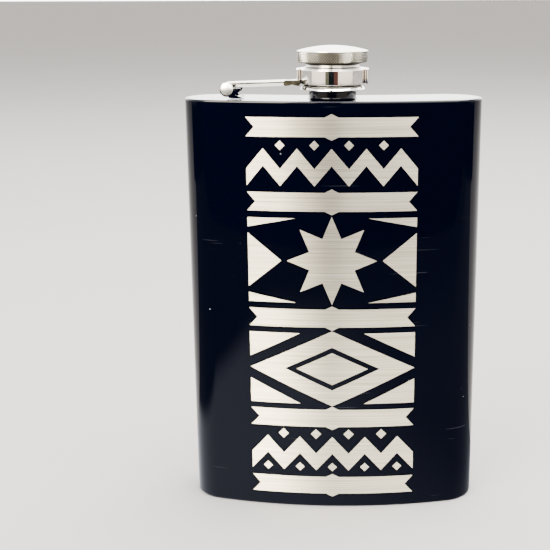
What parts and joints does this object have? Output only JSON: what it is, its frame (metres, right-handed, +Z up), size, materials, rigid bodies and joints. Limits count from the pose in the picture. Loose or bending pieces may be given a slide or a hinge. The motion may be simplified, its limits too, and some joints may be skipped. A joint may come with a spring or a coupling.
{
  "type": "hip flask",
  "caption": "Slim curved steel hip flask with a gloss coat, a filler neck and a knurled screw cap held captive by a hinged arm.",
  "frame": {"origin": "centre of the flask's bounding box, on the plane its base stands on", "axes": "+Z up along the flask to the cap, +X across its width with the hinge on the -X side, -Y out of the convex front"},
  "size_m": [0.095, 0.0276, 0.1519],
  "materials": {
    "gloss_coat": "gloss blue-black coat on stainless steel",
    "polished_steel": "polished stainless steel",
    "seal_rubber": "white silicone"
  },
  "bodies": {
    "flask": {"body_sleeve": "gloss_coat", "top_plate": "gloss_coat", "base_plate": "gloss_coat", "filler_neck": "gloss_coat", "hinge_bracket": "gloss_coat", "hinge_pin": "polished_steel"},
    "arm": {"cap_arm": "polished_steel", "swivel_collar": "polished_steel"},
    "cap": {"cap_skirt": "polished_steel", "cap_head": "polished_steel", "seal_disc": "seal_rubber"}
  },
  "joints": [
    {"name": "arm_swing", "type": "hinge", "parent": "flask", "child": "arm", "pos_m": [-0.033, -0.00235, 0.13865], "axis": [0, -1, 0], "range_deg": [0, 180]},
    {"name": "cap_turn", "type": "hinge", "parent": "arm", "child": "cap", "pos_m": [0, -0.00235, 0.1355], "axis": [0, 0, 1], "continuous": true}
  ]
}
